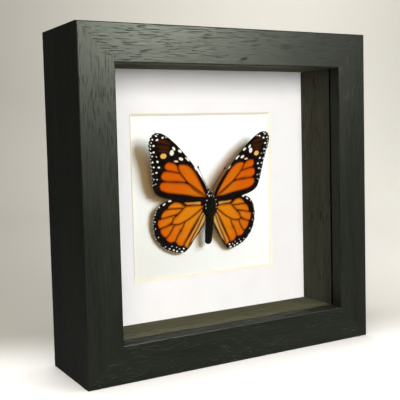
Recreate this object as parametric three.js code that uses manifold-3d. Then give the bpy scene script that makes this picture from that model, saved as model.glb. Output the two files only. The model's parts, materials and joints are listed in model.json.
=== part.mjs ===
// A male monarch butterfly, spread and fixed in a deep, black-stained shadow box frame.
// Millimetres, +Z up. The glass faces -Y. The origin is the bottom centre of the whole object.

import * as THREE from 'three';
import { mergeVertices } from 'three/addons/utils/BufferGeometryUtils.js';
import Module from 'manifold-3d';

const manifoldLibrary = await Module();
manifoldLibrary.setup();

// ---------------------------------------------------------------- driving dimensions

const FRAME_SIDE = 170; // outer width and height of the square frame
const FRAME_DEPTH = 47; // front face to back face of the rails
const FACE_WIDTH = 18.7; // width of each rail seen from the front
const LIP_DEPTH = 6.8; // thickness of the lip that the glass lies behind
const WALL_THICKNESS = 12.5; // rail behind the lip, outside the rebate
const ARRIS_RADIUS = 0.7; // sanded long edges of the rails
const MITRE_GAP = 0.1; // between the ends of two rails, along each rail

const SEAT_GAP = 0.2; // clearance of a loose sheet or strip in the rebate
const GLASS_THICKNESS = 2;
const SPACER_SETBACK = 0.4; // spacer face behind the edge of the lip
const MAT_FRONT = 34.8; // front of the mat, behind the front face of the frame
const MAT_THICKNESS = 1.4;
const LAYER_GAP = 0.1; // between mat, card, board and what lies on them
const WINDOW_SIDE = 89; // mat window at the front of its 45 degree bevel
const WINDOW_DROP = 0.9; // window centre below the centre of the frame
const CARD_THICKNESS = 1;
const BOARD_THICKNESS = 3;

const POINT_LENGTH = 17; // framer's point, along the way it is driven
const POINT_WIDTH = 8;
const POINT_THICKNESS = 0.6;
const POINT_TIP = 3; // length of its sharpened end
const POINT_DRIVEN = 6.5; // length inside the rail
const POINT_OFFSET = 38; // points to either side of the middle of a rail

const HANGER_LENGTH = 44;
const HANGER_HEIGHT = 8;
const HANGER_THICKNESS = 0.8;
const HANGER_RISE = 1.2; // the toothed middle stands off the rail by this
const HANGER_FLAT = 8; // length of each flat end
const HANGER_RAMP = 2; // length of each slope between an end and the middle
const HANGER_TEETH = 11;
const TOOTH_HEIGHT = 1.6;
const NAIL_INSET = 4; // nail centre from the end of the hanger
const NAIL_LENGTH = 8; // under the head
const NAIL_TIP = 1.5;
const NAIL_SHANK_RADIUS = 0.65;
const NAIL_HEAD_RADIUS = 1.6;
const NAIL_HEAD_HEIGHT = 0.7;

const BODY_X = -1; // body axis from the middle of the frame
const ROOT_HEIGHT = 9.4; // wing roots in front of the card
const ROOT_Z = 81; // wing roots above the bottom of the frame
const ROOT_HALF_WIDTH = 1.6; // wing roots to either side of the body axis
const BODY_PITCH = 7.8; // degrees: the head leans out towards the glass
const WING_DROOP = 8.1; // degrees: the wing tips fall back towards the card
const FOREWING_TWIST = 3.6; // degrees: the leading edge leans further out than the body
const WING_THICKNESS = 0.4;
const WING_OVERLAP_GAP = 0.3; // hind wing behind the fore wing that laps it
const BODY_DROP = 0.9; // body axis behind the plane of the wing roots
const BODY_CLEARANCE = 0.3; // around the body, where the wings meet it
const HEAD = { across: 1.75, deep: 1.5, along: 1.9, centre: 4.2, aside: -1.1 };
const THORAX = { across: 2.9, deep: 2.6, along: 5.6, centre: -2.4, aside: 0.2 };
const ABDOMEN = { radius: 2.1, top: -6, tip: -24.3 };
const ANTENNA_RADIUS = 0.2;
const CLUB_RADIUS = 0.4;
const CLUB_LENGTH = 1.8;
const PAD_WIDTH = 4;
const PAD_LENGTH = 6;
const PAD_HEIGHT = 5.1;
const PAD_CORNER = 0.6;

// How each wing was set: degrees raised in its own plane, and millimetres slid along the body.
const WING_SET = {
  forewing_left: { side: -1, raised: 0, slid: 0 },
  forewing_right: { side: 1, raised: -1, slid: 0 },
  hindwing_left: { side: -1, raised: 0, slid: 0 },
  hindwing_right: { side: 1, raised: 1.8, slid: -0.9 },
};

// Each antenna from its socket on the head to its tip, in the butterfly's own frame.
const ANTENNAE = {
  antenna_left: [[-1.9, -0.4, 6], [-6.5, -0.7, 13.4], [-9.5, -0.2, 19.7]],
  antenna_right: [[-0.5, -0.4, 6], [3.5, -0.7, 12.7], [8, -0.2, 18.3]],
};

// Wing outlines, out from the root and up towards the head, walked along the leading edge,
// round the tip and back along the trailing edge. They are the points of a closed smooth curve.
const FOREWING_OUTLINE = [
  [0.1, 1.8], [1.1, 6.2], [3.5, 10.8], [6.8, 15.6], [10.3, 20.4], [15.3, 26], [20.2, 31],
  [25.7, 35.4], [29.9, 37.4], [33.3, 37.2], [35.3, 34.6], [35.8, 30.4], [34.7, 25.4], [33.7, 20.4],
  [33, 14.4], [32.1, 8.8], [30.2, 5], [25.8, 2.7], [18.8, 1.3], [10, 0.6], [2, 0.3],
];
const HINDWING_OUTLINE = [
  [0.3, -1.3], [2.8, 1.1], [8.7, 2.4], [15.7, 2.4], [21.7, 1.3], [26.3, -0.6], [29.4, -3.4],
  [31, -7.8], [31.3, -12.3], [30.7, -16.4], [29.3, -20], [26.8, -23.3], [23.2, -26.2], [19, -27.9],
  [15, -28.5], [12, -27.8], [9.7, -25.6], [7, -21.5], [4.1, -17.2], [1.8, -13.4], [0.9, -9.3],
  [0.5, -4.8],
];

// ---------------------------------------------------------------- worked-out dimensions

const HALF_SIDE = FRAME_SIDE / 2;
const OBJECT_DEPTH = FRAME_DEPTH + LAYER_GAP + HANGER_RISE + HANGER_THICKNESS;
const FRONT_Y = -OBJECT_DEPTH / 2;
const BACK_Y = FRONT_Y + FRAME_DEPTH;
const GLASS_Y = FRONT_Y + LIP_DEPTH + SEAT_GAP;
const SPACER_Y = GLASS_Y + GLASS_THICKNESS + SEAT_GAP;
const MAT_Y = FRONT_Y + MAT_FRONT;
const CARD_Y = MAT_Y + MAT_THICKNESS + LAYER_GAP;
const BOARD_Y = CARD_Y + CARD_THICKNESS + LAYER_GAP;
const POINT_Y = BOARD_Y + BOARD_THICKNESS + LAYER_GAP;
const HANGER_Y = BACK_Y + LAYER_GAP;
const NAIL_Y = HANGER_Y + HANGER_THICKNESS + LAYER_GAP;
const SHEET_SIDE = FRAME_SIDE - 2 * WALL_THICKNESS - 2 * SEAT_GAP;
const SPACER_THICKNESS = FACE_WIDTH - WALL_THICKNESS - SEAT_GAP - SPACER_SETBACK;
const SPACER_DEPTH = MAT_Y - LAYER_GAP - SPACER_Y;
const SPACER_OFFSET = (SHEET_SIDE - SPACER_THICKNESS) / 2;
const NAIL_OFFSET = HANGER_LENGTH / 2 - NAIL_INSET;

// ---------------------------------------------------------------- materials

const stainedOak = { color: '#23251f', roughness: 0.45, metalness: 0 };
const stainedStrip = { color: '#2b2b24', roughness: 0.6, metalness: 0 };
const clearGlass = { color: '#f4f8f6', roughness: 0.02, metalness: 0, transparent: true, opacity: 0.2 };
const matBoard = { color: '#f1eeee', roughness: 0.9, metalness: 0 };
const whiteCard = { color: '#fbfbf8', roughness: 0.9, metalness: 0 };
const hardboard = { color: '#6d4c2f', roughness: 0.8, metalness: 0 };
const zincSteel = { color: '#b9bcbd', roughness: 0.35, metalness: 1 };
const brassPlate = { color: '#b8954a', roughness: 0.35, metalness: 1 };
const whiteFoam = { color: '#f4f4f0', roughness: 0.95, metalness: 0 };
const blackBody = { color: '#15130f', roughness: 0.6, metalness: 0 };
const foreScales = { color: '#d9650f', roughness: 0.7, metalness: 0 };
const hindScales = { color: '#e07c14', roughness: 0.7, metalness: 0 };

// ---------------------------------------------------------------- helpers

function piece(name, geometry, look) {
  const mesh = new THREE.Mesh(geometry, new THREE.MeshStandardMaterial(look));
  mesh.name = name;
  return mesh;
}

function box(width, depth, height, x, y, z) {
  return new THREE.BoxGeometry(width, depth, height).translate(x, y + depth / 2, z);
}

// A flat outline in X and Z, thickened along +Y from y = 0.
function plate(outline, thickness, curveSegments = 6) {
  const settings = { depth: thickness, bevelEnabled: false, curveSegments };
  const geometry = new THREE.ExtrudeGeometry(outline, settings);
  return geometry.rotateX(Math.PI / 2).translate(0, thickness, 0);
}

function toSolid(geometry) {
  const bare = geometry.clone();
  bare.deleteAttribute('normal');
  bare.deleteAttribute('uv');
  const merged = mergeVertices(bare, 1e-5);
  const corners = merged.index.array;
  const triangles = [];
  for (let i = 0; i < corners.length; i += 3) {
    const [a, b, c] = corners.slice(i, i + 3);
    if (a !== b && b !== c && c !== a) triangles.push(a, b, c);
  }
  return new manifoldLibrary.Manifold(new manifoldLibrary.Mesh({
    numProp: 3,
    vertProperties: new Float32Array(merged.attributes.position.array),
    triVerts: new Uint32Array(triangles),
  }));
}

function toGeometry(solid) {
  const mesh = solid.getMesh();
  const geometry = new THREE.BufferGeometry();
  geometry.setAttribute('position', new THREE.BufferAttribute(mesh.vertProperties, 3));
  geometry.setIndex(new THREE.BufferAttribute(mesh.triVerts, 1));
  return geometry;
}

// The whole frame is square, so what belongs to one side of it is made for the bottom side,
// about the centre of the frame, and turned round to the side where it goes.
const SIDES = { bottom: 0, left: Math.PI / 2, top: Math.PI, right: -Math.PI / 2 };

function onSide(side, mesh) {
  mesh.position.z = HALF_SIDE;
  mesh.rotation.y = SIDES[side];
  return mesh;
}

// ---------------------------------------------------------------- frame rails

// The section lies in Y (depth) and Z (up from the outer edge), and runs along X to the mitres.
function railBlank() {
  const r = ARRIS_RADIUS;
  const section = new THREE.Shape();
  section.moveTo(r, 0);
  section.lineTo(FRAME_DEPTH - r, 0);
  section.absarc(FRAME_DEPTH - r, r, r, -Math.PI / 2, 0);
  section.lineTo(FRAME_DEPTH, WALL_THICKNESS);
  section.lineTo(LIP_DEPTH, WALL_THICKNESS);
  section.lineTo(LIP_DEPTH, FACE_WIDTH);
  section.lineTo(r, FACE_WIDTH);
  section.absarc(r, FACE_WIDTH - r, r, Math.PI / 2, Math.PI);
  section.lineTo(0, r);
  section.absarc(r, r, r, Math.PI, Math.PI * 1.5);
  const geometry = new THREE.ExtrudeGeometry(section, { depth: 1, bevelEnabled: false, curveSegments: 4 });
  const position = geometry.attributes.position;
  for (let i = 0; i < position.count; i += 1) {
    const y = position.getX(i);
    const fromEdge = position.getY(i);
    const halfLength = HALF_SIDE - fromEdge - MITRE_GAP / 2;
    const x = (2 * position.getZ(i) - 1) * halfLength;
    position.setXYZ(i, x, FRONT_Y + y, fromEdge - HALF_SIDE);
  }
  return geometry;
}

function pointSlot(x) {
  const width = POINT_WIDTH + 2 * SEAT_GAP;
  const thickness = POINT_THICKNESS + 2 * SEAT_GAP;
  const length = POINT_DRIVEN + 2 * SEAT_GAP;
  const middle = WALL_THICKNESS + SEAT_GAP - length / 2 - HALF_SIDE;
  return box(width, thickness, length, x, POINT_Y - SEAT_GAP, middle);
}

function nailHole(x) {
  const radius = NAIL_SHANK_RADIUS + SEAT_GAP;
  const hole = new THREE.CylinderGeometry(radius, radius, 2 * NAIL_LENGTH, 12);
  return hole.translate(x, BACK_Y, WALL_THICKNESS / 2 - HALF_SIDE);
}

function rail(side) {
  let solid = toSolid(railBlank());
  for (const x of [-POINT_OFFSET, POINT_OFFSET]) {
    solid = solid.subtract(toSolid(pointSlot(x)));
  }
  if (side === 'top') {
    for (const x of [-NAIL_OFFSET, NAIL_OFFSET]) {
      solid = solid.subtract(toSolid(nailHole(x)));
    }
  }
  return onSide(side, piece(`frame_rail_${side}`, toGeometry(solid), stainedOak));
}

// ---------------------------------------------------------------- glass, spacers, mat and boards

function glassPane() {
  return piece('glass_pane', box(SHEET_SIDE, GLASS_THICKNESS, SHEET_SIDE, 0, GLASS_Y, HALF_SIDE), clearGlass);
}

// The upright strips stand between the long top and bottom strips.
function spacer(side) {
  const upright = side === 'left' || side === 'right';
  const length = upright ? SHEET_SIDE - 2 * SPACER_THICKNESS - 2 * SEAT_GAP : SHEET_SIDE;
  const strip = box(length, SPACER_DEPTH, SPACER_THICKNESS, 0, SPACER_Y, -SPACER_OFFSET);
  return onSide(side, piece(`spacer_${side}`, strip, stainedStrip));
}

// The window narrows towards the card at 45 degrees, so the cutter is a four-sided tapered block.
function windowMat() {
  const overshoot = 1;
  const sheet = box(SHEET_SIDE, MAT_THICKNESS, SHEET_SIDE, 0, MAT_Y, HALF_SIDE);
  const height = MAT_THICKNESS + 2 * overshoot;
  const frontSide = WINDOW_SIDE + 2 * overshoot;
  const backSide = frontSide - 2 * height;
  const cutter = new THREE.CylinderGeometry(backSide / Math.SQRT2, frontSide / Math.SQRT2, height, 4);
  cutter.rotateY(Math.PI / 4);
  cutter.translate(0, MAT_Y + MAT_THICKNESS / 2, HALF_SIDE - WINDOW_DROP);
  return piece('window_mat', toGeometry(toSolid(sheet).subtract(toSolid(cutter))), matBoard);
}

function backingCard() {
  return piece('backing_card', box(SHEET_SIDE, CARD_THICKNESS, SHEET_SIDE, 0, CARD_Y, HALF_SIDE), whiteCard);
}

function backingBoard() {
  const sheet = box(SHEET_SIDE, BOARD_THICKNESS, SHEET_SIDE, 0, BOARD_Y, HALF_SIDE);
  return piece('backing_board', sheet, hardboard);
}

// ---------------------------------------------------------------- points, hanger and nails

// A flat steel point: a sharpened end in the rail and a round tongue that lies on the board.
function framersPoint(name, side, x) {
  const half = POINT_WIDTH / 2;
  const outline = new THREE.Shape();
  outline.moveTo(0, 0);
  outline.lineTo(half, POINT_TIP);
  outline.lineTo(half, POINT_LENGTH - half);
  outline.absarc(0, POINT_LENGTH - half, half, 0, Math.PI);
  outline.lineTo(-half, POINT_TIP);
  outline.closePath();
  const geometry = plate(outline, POINT_THICKNESS);
  geometry.translate(x, POINT_Y, WALL_THICKNESS - POINT_DRIVEN - HALF_SIDE);
  return onSide(side, piece(name, geometry, zincSteel));
}

function hangerOutline() {
  const end = HANGER_LENGTH / 2;
  const half = HANGER_HEIGHT / 2;
  const toothed = end - HANGER_FLAT - HANGER_RAMP;
  const tooth = (2 * toothed) / HANGER_TEETH;
  const outline = new THREE.Shape();
  outline.moveTo(-end, -half);
  for (let i = 0; i < HANGER_TEETH; i += 1) {
    outline.lineTo(-toothed + i * tooth, -half);
    outline.lineTo(-toothed + (i + 0.5) * tooth, -half + TOOTH_HEIGHT);
  }
  outline.lineTo(toothed, -half);
  outline.lineTo(end, -half);
  outline.lineTo(end, half);
  outline.lineTo(-end, half);
  outline.closePath();
  for (const x of [-NAIL_OFFSET, NAIL_OFFSET]) {
    const hole = new THREE.Path();
    hole.absarc(x, 0, NAIL_SHANK_RADIUS + SEAT_GAP, 0, 2 * Math.PI);
    outline.holes.push(hole);
  }
  return outline;
}

// The stamped outline is cut from a strip whose middle is pressed out from the rail.
function sawtoothHanger() {
  const end = HANGER_LENGTH / 2;
  const foot = end - HANGER_FLAT;
  const crest = foot - HANGER_RAMP;
  const profile = [[-end, 0], [-foot, 0], [-crest, HANGER_RISE], [crest, HANGER_RISE], [foot, 0], [end, 0]];
  const underside = profile.map(([x, y]) => new THREE.Vector2(x, y));
  const topside = profile.toReversed().map(([x, y]) => new THREE.Vector2(x, y + HANGER_THICKNESS));
  const strip = new THREE.Shape([...underside, ...topside]);
  const pressed = new THREE.ExtrudeGeometry(strip, { depth: 2 * HANGER_HEIGHT, bevelEnabled: false });
  pressed.translate(0, 0, -HANGER_HEIGHT);
  const stamped = plate(hangerOutline(), 4 * HANGER_RISE).translate(0, -HANGER_RISE, 0);
  const geometry = toGeometry(toSolid(pressed).intersect(toSolid(stamped)));
  geometry.translate(0, HANGER_Y, FRAME_SIDE - WALL_THICKNESS / 2);
  return piece('sawtooth_hanger', geometry, brassPlate);
}

function hangerNail(name, x) {
  const profile = new THREE.Path();
  profile.moveTo(0, -NAIL_LENGTH);
  profile.lineTo(NAIL_SHANK_RADIUS, NAIL_TIP - NAIL_LENGTH);
  profile.lineTo(NAIL_SHANK_RADIUS, 0);
  profile.lineTo(NAIL_HEAD_RADIUS, 0);
  profile.quadraticCurveTo(NAIL_HEAD_RADIUS, NAIL_HEAD_HEIGHT, 0, NAIL_HEAD_HEIGHT);
  const geometry = new THREE.LatheGeometry(profile.getPoints(4), 12);
  geometry.translate(x, NAIL_Y, FRAME_SIDE - WALL_THICKNESS / 2);
  return piece(name, geometry, brassPlate);
}

// ---------------------------------------------------------------- butterfly

// The butterfly's own frame: X to its right wing, Y away from the viewer, Z towards its head,
// with the origin on the body axis, level with the wing roots.

function ellipsoid({ across, deep, along, centre, aside }, margin) {
  const ball = new THREE.SphereGeometry(1, 18, 12).rotateX(Math.PI / 2);
  ball.scale(across + margin, deep + margin, along + margin);
  return ball.translate(aside, BODY_DROP, centre);
}

// Head, thorax and abdomen joined, each grown outward by margin.
function bodySolid(margin) {
  const radius = ABDOMEN.radius + margin;
  const outline = new THREE.Path();
  outline.absarc(0, ABDOMEN.tip - margin + radius, radius, -Math.PI / 2, 0);
  outline.lineTo(radius, ABDOMEN.top - radius);
  outline.absarc(0, ABDOMEN.top - radius, radius, 0, Math.PI / 2);
  const points = outline.getPoints(5);
  points[0].x = 0;
  points.at(-1).x = 0;
  const abdomen = new THREE.LatheGeometry(points, 18);
  abdomen.rotateX(Math.PI / 2).translate(0, BODY_DROP, 0);
  return toSolid(ellipsoid(THORAX, margin)).add(toSolid(ellipsoid(HEAD, margin))).add(toSolid(abdomen));
}

function wing(name, outlinePoints, behind, twist, look) {
  const { side, raised, slid } = WING_SET[name];
  const corners = outlinePoints.map(([out, up]) => new THREE.Vector3(side * out, up, 0));
  const curve = new THREE.CatmullRomCurve3(corners, true, 'centripetal');
  const rim = curve.getPoints(2 * corners.length).slice(0, -1);
  const outline = new THREE.Shape(rim.map((point) => new THREE.Vector2(point.x, point.y)));
  const geometry = plate(outline, WING_THICKNESS).translate(0, behind, slid);
  geometry.rotateY(-side * THREE.MathUtils.degToRad(raised));
  geometry.rotateX(THREE.MathUtils.degToRad(twist));
  geometry.rotateZ(side * THREE.MathUtils.degToRad(WING_DROOP));
  geometry.translate(side * ROOT_HALF_WIDTH, 0, 0);
  const solid = toSolid(geometry).subtract(bodySolid(BODY_CLEARANCE));
  return piece(name, toGeometry(solid), look);
}

// A thin shaft along a gentle curve, with a club at its tip.
function antenna(name) {
  const path = new THREE.CatmullRomCurve3(ANTENNAE[name].map((point) => new THREE.Vector3(...point)));
  const section = new THREE.Shape();
  section.absarc(0, 0, ANTENNA_RADIUS, 0, 2 * Math.PI);
  const shaft = new THREE.ExtrudeGeometry(section, {
    steps: 10,
    curveSegments: 6,
    extrudePath: path,
    bevelEnabled: false,
  });
  const club = new THREE.SphereGeometry(1, 10, 8).scale(CLUB_RADIUS, CLUB_LENGTH / 2, CLUB_RADIUS);
  const towardTip = new THREE.Quaternion().setFromUnitVectors(new THREE.Vector3(0, 1, 0), path.getTangent(1));
  club.applyQuaternion(towardTip);
  club.translate(...path.getPoint(1).toArray());
  const solid = toSolid(shaft).add(toSolid(club));
  return piece(name, toGeometry(solid), blackBody);
}

function butterfly() {
  const group = new THREE.Group();
  group.position.set(BODY_X, CARD_Y - ROOT_HEIGHT, ROOT_Z);
  group.rotation.x = THREE.MathUtils.degToRad(BODY_PITCH);
  const hindBehind = WING_THICKNESS + WING_OVERLAP_GAP;
  group.add(piece('butterfly_body', toGeometry(bodySolid(0)), blackBody));
  for (const side of ['left', 'right']) {
    group.add(wing(`forewing_${side}`, FOREWING_OUTLINE, 0, FOREWING_TWIST, foreScales));
    group.add(wing(`hindwing_${side}`, HINDWING_OUTLINE, hindBehind, 0, hindScales));
  }
  group.add(antenna('antenna_left'));
  group.add(antenna('antenna_right'));
  return group;
}

// A small block of foam, glued to the card, that carries the thorax.
function mountPad() {
  const halfWidth = PAD_WIDTH / 2 - PAD_CORNER;
  const halfLength = PAD_LENGTH / 2 - PAD_CORNER;
  const outline = new THREE.Shape();
  outline.absarc(halfWidth, halfLength, PAD_CORNER, 0, Math.PI / 2);
  outline.absarc(-halfWidth, halfLength, PAD_CORNER, Math.PI / 2, Math.PI);
  outline.absarc(-halfWidth, -halfLength, PAD_CORNER, Math.PI, Math.PI * 1.5);
  outline.absarc(halfWidth, -halfLength, PAD_CORNER, Math.PI * 1.5, Math.PI * 2);
  const geometry = plate(outline, PAD_HEIGHT, 3);
  geometry.translate(BODY_X, CARD_Y - LAYER_GAP - PAD_HEIGHT, ROOT_Z + THORAX.centre);
  return piece('mount_pad', geometry, whiteFoam);
}

// ---------------------------------------------------------------- assembly

const specimenFrame = new THREE.Group();
for (const side of Object.keys(SIDES)) {
  specimenFrame.add(rail(side));
  specimenFrame.add(spacer(side));
}
specimenFrame.add(glassPane());
specimenFrame.add(windowMat());
specimenFrame.add(backingCard());
specimenFrame.add(backingBoard());
let pointNumber = 0;
for (const side of Object.keys(SIDES)) {
  for (const x of [-POINT_OFFSET, POINT_OFFSET]) {
    pointNumber += 1;
    specimenFrame.add(framersPoint(`framer_point_${pointNumber}`, side, x));
  }
}
specimenFrame.add(sawtoothHanger());
specimenFrame.add(hangerNail('hanger_nail_left', -NAIL_OFFSET));
specimenFrame.add(hangerNail('hanger_nail_right', NAIL_OFFSET));
specimenFrame.add(mountPad());
specimenFrame.add(butterfly());

export default specimenFrame;
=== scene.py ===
import math

import bmesh
import bpy
import json
import numpy as np
from mathutils import Matrix, Vector

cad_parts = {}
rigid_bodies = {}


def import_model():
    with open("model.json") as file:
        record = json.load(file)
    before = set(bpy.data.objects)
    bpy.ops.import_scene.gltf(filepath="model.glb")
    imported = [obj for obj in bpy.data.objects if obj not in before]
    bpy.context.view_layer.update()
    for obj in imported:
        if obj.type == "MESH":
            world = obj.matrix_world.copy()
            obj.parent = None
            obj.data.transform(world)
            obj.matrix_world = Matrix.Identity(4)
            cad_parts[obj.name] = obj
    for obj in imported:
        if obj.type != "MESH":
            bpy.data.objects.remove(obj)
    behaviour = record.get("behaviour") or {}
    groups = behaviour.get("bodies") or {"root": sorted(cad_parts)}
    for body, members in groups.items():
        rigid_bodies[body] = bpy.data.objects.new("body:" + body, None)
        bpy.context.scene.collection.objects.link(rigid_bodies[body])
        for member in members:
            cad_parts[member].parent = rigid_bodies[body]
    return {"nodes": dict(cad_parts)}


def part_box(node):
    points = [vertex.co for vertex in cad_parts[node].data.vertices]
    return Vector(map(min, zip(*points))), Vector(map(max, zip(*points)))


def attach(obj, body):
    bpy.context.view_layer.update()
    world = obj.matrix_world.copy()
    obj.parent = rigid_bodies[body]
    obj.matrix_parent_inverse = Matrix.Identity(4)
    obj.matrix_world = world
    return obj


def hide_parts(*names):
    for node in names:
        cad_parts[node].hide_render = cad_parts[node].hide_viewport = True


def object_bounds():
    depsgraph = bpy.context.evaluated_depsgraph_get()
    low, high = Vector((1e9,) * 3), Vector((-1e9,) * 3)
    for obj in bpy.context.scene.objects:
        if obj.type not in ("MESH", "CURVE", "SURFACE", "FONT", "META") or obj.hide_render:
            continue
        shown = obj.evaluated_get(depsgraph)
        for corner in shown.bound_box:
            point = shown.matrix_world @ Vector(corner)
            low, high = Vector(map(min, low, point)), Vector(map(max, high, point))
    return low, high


# A male monarch butterfly, spread and fixed in a deep, black-stained shadow box frame.
# Shapes are worked out in millimetres and stored in metres; +Z is up and the glass faces -Y.

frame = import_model()
cad_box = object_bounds()

MM = 0.001
RANDOM = np.random.default_rng(26)

# ---------------------------------------------------------------- how the specimen was set

BODY_X, ROOT_Z = -1.0, 81.0
ROOT_HEIGHT = 9.4  # from the card to the wing roots
ROOT_HALF_WIDTH = 1.6
BODY_PITCH = 7.8  # the head end stands this many degrees nearer the glass
WING_DROOP = 8.1
FOREWING_TWIST = 3.6
HINDWING_BEHIND = 0.7
WING_MIDDLE = 0.2  # the membrane lies this far behind the front of the wing's allotted thickness
MEMBRANE = 0.06  # half the thickness of membrane and scales
VEIN_RIDGE, VEIN_WIDTH = 0.13, 0.2  # how far a vein stands up at the wing's root, and its half width
VEIN_THINNING = 0.65  # the share of its height that a vein loses over the wing's length
WING_LENGTH = 40
SAG, SAG_REACH = 0.14, 1.1  # the membrane hangs this far back once it is this far from a vein
CELL_SPREAD, SPREAD_REACH = 0.4, 0.9  # the coloured cells grow by the first, up to the second from a vein
SPANS = 12  # points between two neighbours of a wing's outline
SCALLOP = 3.9  # from one vein's end to the next along the wing's margin
FLECK_SPOTS, FLECK_EVERY = 400, 7  # a white fleck on every seventh of 400 places along the margin
FLECK = (0.42, 0.3)  # its half length and half width
CARD_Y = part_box("backing_card")[0].y / MM
FRONT_FACE_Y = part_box("frame_rail_top")[0].y  # in metres, as the next
# The strips are coloured near black in front of this depth: painted shade of the gap where they meet the
# glass.
STRIP_EDGE_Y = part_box("spacer_top")[0].y + 0.3 * MM
RAIL_DEPTH, RAIL_FACE, RAIL_LIP, RAIL_WALL, RAIL_ARRIS = 47.0, 18.7, 6.8, 12.5, 0.7
MITRE_HALF_GAP = 0.049  # the CAD leaves 0.1 mm between two rails
WINDOW_HALF, WINDOW_Z = 44.5, 84.1

# Outlines, out from the root and up towards the head: leading edge, tip, trailing edge.
FOREWING_OUTLINE = [
    (0.1, 1.8), (1.1, 6.2), (3.5, 10.8), (6.8, 15.6), (10.3, 20.4), (15.3, 26), (20.2, 31), (25.7, 35.4),
    (29.9, 37.4), (33.3, 37.2), (35.3, 34.6), (35.8, 30.4), (34.7, 25.4), (33.7, 20.4), (33, 14.4),
    (32.1, 8.8), (30.2, 5), (25.8, 2.7), (18.8, 1.3), (10, 0.6), (2, 0.3),
]
HINDWING_OUTLINE = [
    (0.3, -1.3), (2.8, 1.1), (8.7, 2.4), (15.7, 2.4), (21.7, 1.3), (26.3, -0.6), (29.4, -3.4), (31, -7.8),
    (31.3, -12.3), (30.7, -16.4), (29.3, -20), (26.8, -23.3), (23.2, -26.2), (19, -27.9), (15, -28.5),
    (12, -27.8), (9.7, -25.6), (7, -21.5), (4.1, -17.2), (1.8, -13.4), (0.9, -9.3), (0.5, -4.8),
]

# The coloured cells between the veins: tone at the root end, tone at the margin, and outline.
# Tone runs from 0, straw, through 0.5, amber, to 1, deep orange.
FOREWING_CELLS = [
    (0.72, 0.84, [(2.2, 2.8), (3.2, 5.8), (5.5, 10.2), (8.3, 14.6), (10.8, 17.8), (13.2, 19.8),
     (16, 20.6), (18.1, 20.2), (18.2, 18.6), (17, 16.4), (14.9, 13.7), (12.6, 10.9), (8.3, 7.2),
     (4.6, 4.2)]),
    (0.62, 0.98, [(3.6, 2.9), (8, 3.3), (14, 4.3), (20, 5.1), (25, 6), (27.6, 7.2), (28.4, 8.9),
     (27.6, 10.5), (25.6, 11), (20, 10.6), (15, 10.3), (12.6, 9.5), (8.6, 6.4), (5.2, 4)]),
    (0.85, 1.0, [(14.2, 11.7), (20, 11.9), (25, 12.1), (27.3, 13), (27.9, 14.6), (26.8, 16.5), (25, 16.8),
     (20, 16.1), (17.5, 15.5), (15.8, 13.7)]),
    (0.85, 0.95, [(18.4, 16.9), (22, 17.4), (25, 18.1), (26.3, 19.5), (25.6, 21.2), (23.8, 21.6),
     (21, 20.8), (19.4, 19.3)]),
]
HINDWING_CELLS = [
    (0.22, 0.3, [(4.2, -0.5), (9, -0.5), (13.4, -0.6), (12.4, -1.2), (9, -1.8), (4.5, -1.5)]),
    (0.62, 0.7, [(13.4, -2.6), (15.6, -1.2), (18.7, -0.5), (20.7, -1), (22.3, -2.3), (22.4, -3.2),
     (18, -3.2), (14.6, -3)]),
    (0.62, 0.78, [(15, -4.3), (18.5, -4), (22.5, -4.2), (25, -5.2), (26.2, -7), (26, -8.1), (23.5, -7.7),
     (20, -6.9), (17.3, -5.9)]),
    (0.66, 0.82, [(18.8, -7.9), (21.2, -8.1), (24.8, -9), (27.4, -9.8), (28.1, -11), (27.6, -12.9),
     (26.4, -13.6), (23.8, -12.5), (21.8, -11.5), (20.3, -10.2)]),
    (0.74, 0.92, [(19.3, -12.7), (21.5, -12.8), (23.6, -13.6), (26.4, -15), (25.9, -17), (24, -18.7),
     (22.9, -18.2), (21.2, -16), (19.8, -14)]),
    (0.5, 0.7, [(3.1, -3.1), (6, -2.7), (9.5, -2.8), (12.4, -3), (14.2, -4.6), (16.7, -7.2), (19, -9.4),
     (19.8, -10.9), (19.3, -11.8), (17.2, -11.9), (14.2, -11), (12, -10), (9, -7.9), (6, -5.4)]),
    (0.66, 0.92, [(13.3, -11.6), (15.4, -11.9), (18, -12.8), (19.6, -14.6), (21.3, -17.4), (22.8, -19.8),
     (22, -21.4), (20.1, -21.9), (18.5, -21.1), (17.1, -18.5), (15.7, -16), (14.2, -13.5)]),
    (0.38, 0.86, [(3.2, -4.9), (6.6, -6.4), (9.6, -8.7), (12.2, -11), (13.6, -14.1), (15.5, -17.3),
     (17, -20), (17.2, -22), (15.8, -23.9), (13.9, -23.9), (12.5, -21.6), (10, -16.9), (7.5, -12.4),
     (5, -8.1)]),
    (0.18, 0.45, [(2.3, -6.6), (4.8, -9.8), (7.5, -15), (10, -19.8), (12.1, -23.8), (11.8, -25),
     (10.5, -25.1), (8.8, -21.9), (6, -16.3), (3.6, -11.1)]),
    (0.05, 0.2, [(1.6, -8), (2.7, -9.6), (5, -14), (7.4, -18.8), (9, -22.3), (7.6, -21.6), (5.2, -17.6),
     (2.8, -13.6), (1.3, -10.6)]),
]
# The brown cells near the forewing's tip.
BROWN_CELLS = [
    [(23.6, 31), (27, 31.6), (31.2, 33), (28.4, 34.2), (25, 33)],
    [(24.6, 28.6), (30, 29.7), (31.6, 31), (28, 31), (24.4, 30.2)],
    [(24.6, 27), (29, 27.4), (30.6, 28.4), (28, 28.8), (24.8, 28)],
]
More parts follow.
